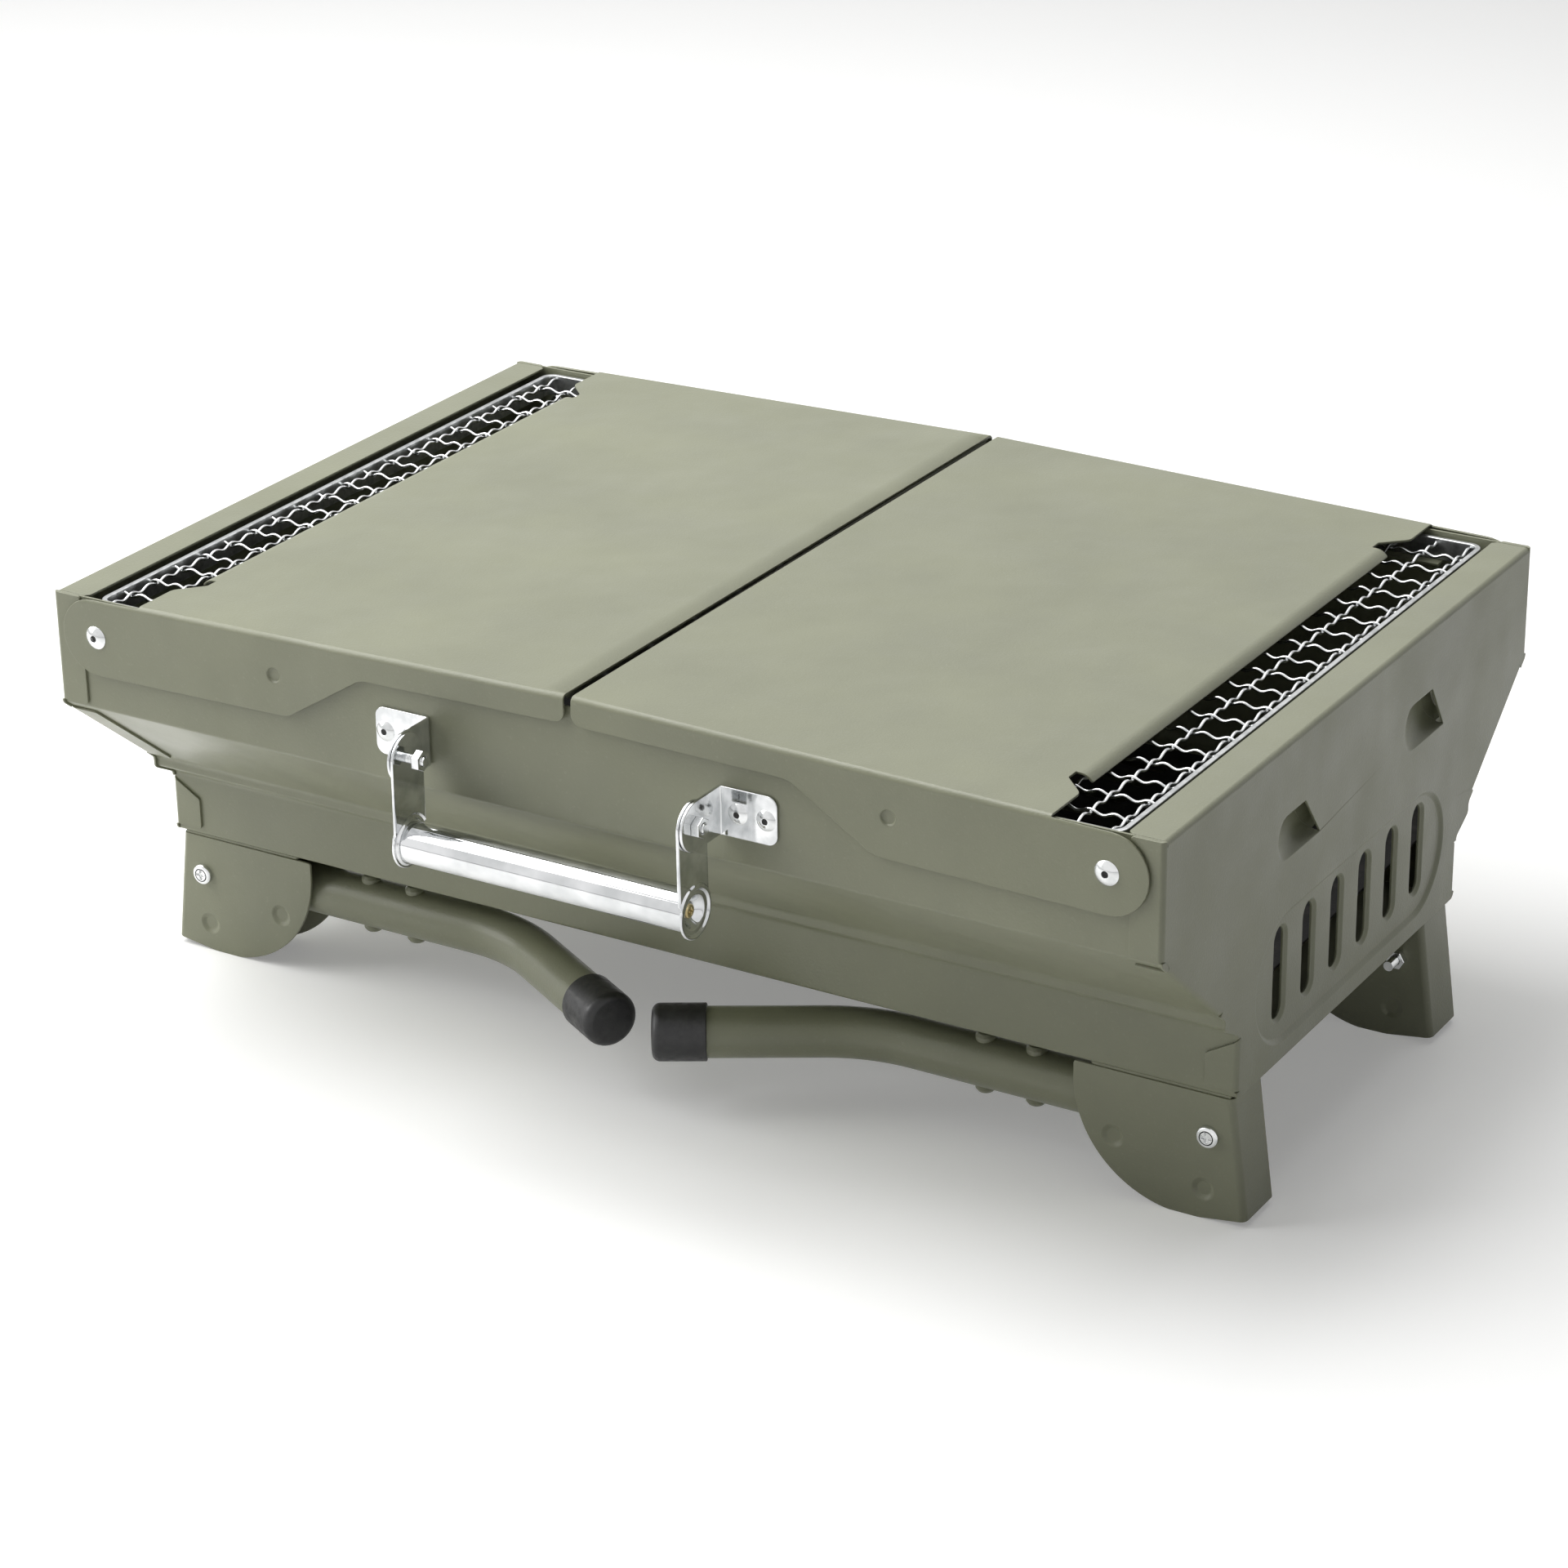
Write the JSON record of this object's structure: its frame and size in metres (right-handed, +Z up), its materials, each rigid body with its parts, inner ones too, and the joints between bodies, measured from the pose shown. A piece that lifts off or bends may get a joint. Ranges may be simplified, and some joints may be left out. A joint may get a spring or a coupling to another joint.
{
  "type": "folding charcoal grill",
  "caption": "Folding tabletop charcoal grill: olive steel trough with two hinged lids, a cooking net, folding tube legs and a swinging carry handle, shown folded for carrying.",
  "frame": {"origin": "middle of the bottom of the folded grill's box, on the floor that the leg channels stand on", "axes": "+X to the right along the grill, +Z up, front with the carry handle towards -Y"},
  "size_m": [0.489, 0.3509, 0.1842],
  "materials": {
    "olive_powder_coat": "satin fine-textured powder coat, olive drab",
    "bright_chrome": "mirror bright plating",
    "zinc_plated_steel": "bright zinc plating, satin",
    "chromed_wire": "bright plated wire",
    "black_vinyl": "soft black vinyl with a low gloss",
    "dark_steel_plate": "matt heat resistant black"
  },
  "bodies": {
    "grill_body": {"body_shell": "olive_powder_coat", "end_panel_left": "olive_powder_coat", "end_panel_right": "olive_powder_coat", "charcoal_grate": "dark_steel_plate", "net_frame": "chromed_wire", "net_long_wires": "chromed_wire", "net_cross_wires": "chromed_wire", "net_rail_front": "olive_powder_coat", "net_rail_rear": "olive_powder_coat", "lid_pivot_rivets": "zinc_plated_steel", "lid_washers": "zinc_plated_steel", "channel_rivets": "zinc_plated_steel", "leg_bolts": "zinc_plated_steel", "leg_nuts": "zinc_plated_steel", "handle_bracket_left": "bright_chrome", "handle_bracket_right": "bright_chrome", "handle_bracket_rivets": "zinc_plated_steel", "handle_bolts": "zinc_plated_steel", "handle_nuts": "zinc_plated_steel", "leg_channel_front_left": "olive_powder_coat", "leg_channel_front_right": "olive_powder_coat", "leg_channel_rear_left": "olive_powder_coat", "leg_channel_rear_right": "olive_powder_coat"},
    "left_lid": {"lid_left": "olive_powder_coat"},
    "right_lid": {"lid_right": "olive_powder_coat"},
    "handle": {"handle_arm_left": "bright_chrome", "handle_arm_right": "bright_chrome", "handle_tube": "bright_chrome", "handle_plugs": "zinc_plated_steel", "handle_screws": "zinc_plated_steel"},
    "front_left_leg": {"leg_tube_front_left": "olive_powder_coat", "leg_sleeve_front_left": "zinc_plated_steel", "leg_rivets_front_left": "olive_powder_coat", "leg_cap_front_left": "black_vinyl"},
    "front_right_leg": {"leg_tube_front_right": "olive_powder_coat", "leg_sleeve_front_right": "zinc_plated_steel", "leg_rivets_front_right": "olive_powder_coat", "leg_cap_front_right": "black_vinyl"},
    "rear_left_leg": {"leg_tube_rear_left": "olive_powder_coat", "leg_sleeve_rear_left": "zinc_plated_steel", "leg_rivets_rear_left": "olive_powder_coat", "leg_cap_rear_left": "black_vinyl"},
    "rear_right_leg": {"leg_tube_rear_right": "olive_powder_coat", "leg_sleeve_rear_right": "zinc_plated_steel", "leg_rivets_rear_right": "olive_powder_coat", "leg_cap_rear_right": "black_vinyl"}
  },
  "joints": [
    {"name": "left_lid_hinge", "type": "hinge", "parent": "grill_body", "child": "left_lid", "pos_m": [-0.219, 0.01165, 0.1639], "axis": [0, -1, 0], "range_deg": [0, 178.95]},
    {"name": "right_lid_hinge", "type": "hinge", "parent": "grill_body", "child": "right_lid", "pos_m": [0.219, 0.01165, 0.1639], "axis": [0, 1, 0], "range_deg": [0, 178.95]},
    {"name": "front_left_leg_hinge", "type": "hinge", "parent": "grill_body", "child": "front_left_leg", "pos_m": [-0.22867, -0.07235, 0.0345], "axis": [0, 1, 0], "range_deg": [0, 97.5]},
    {"name": "front_right_leg_hinge", "type": "hinge", "parent": "grill_body", "child": "front_right_leg", "pos_m": [0.22867, -0.07235, 0.0345], "axis": [0, -1, 0], "range_deg": [0, 97.5]},
    {"name": "rear_left_leg_hinge", "type": "hinge", "parent": "grill_body", "child": "rear_left_leg", "pos_m": [-0.22867, 0.09565, 0.0345], "axis": [0, 1, 0], "range_deg": [0, 97.5]},
    {"name": "rear_right_leg_hinge", "type": "hinge", "parent": "grill_body", "child": "rear_right_leg", "pos_m": [0.22867, 0.09565, 0.0345], "axis": [0, -1, 0], "range_deg": [0, 97.5]},
    {"name": "handle_hinge", "type": "hinge", "parent": "grill_body", "child": "handle", "pos_m": [0, -0.16535, 0.15265], "axis": [-1, 0, 0], "range_deg": [-20, 185]}
  ]
}
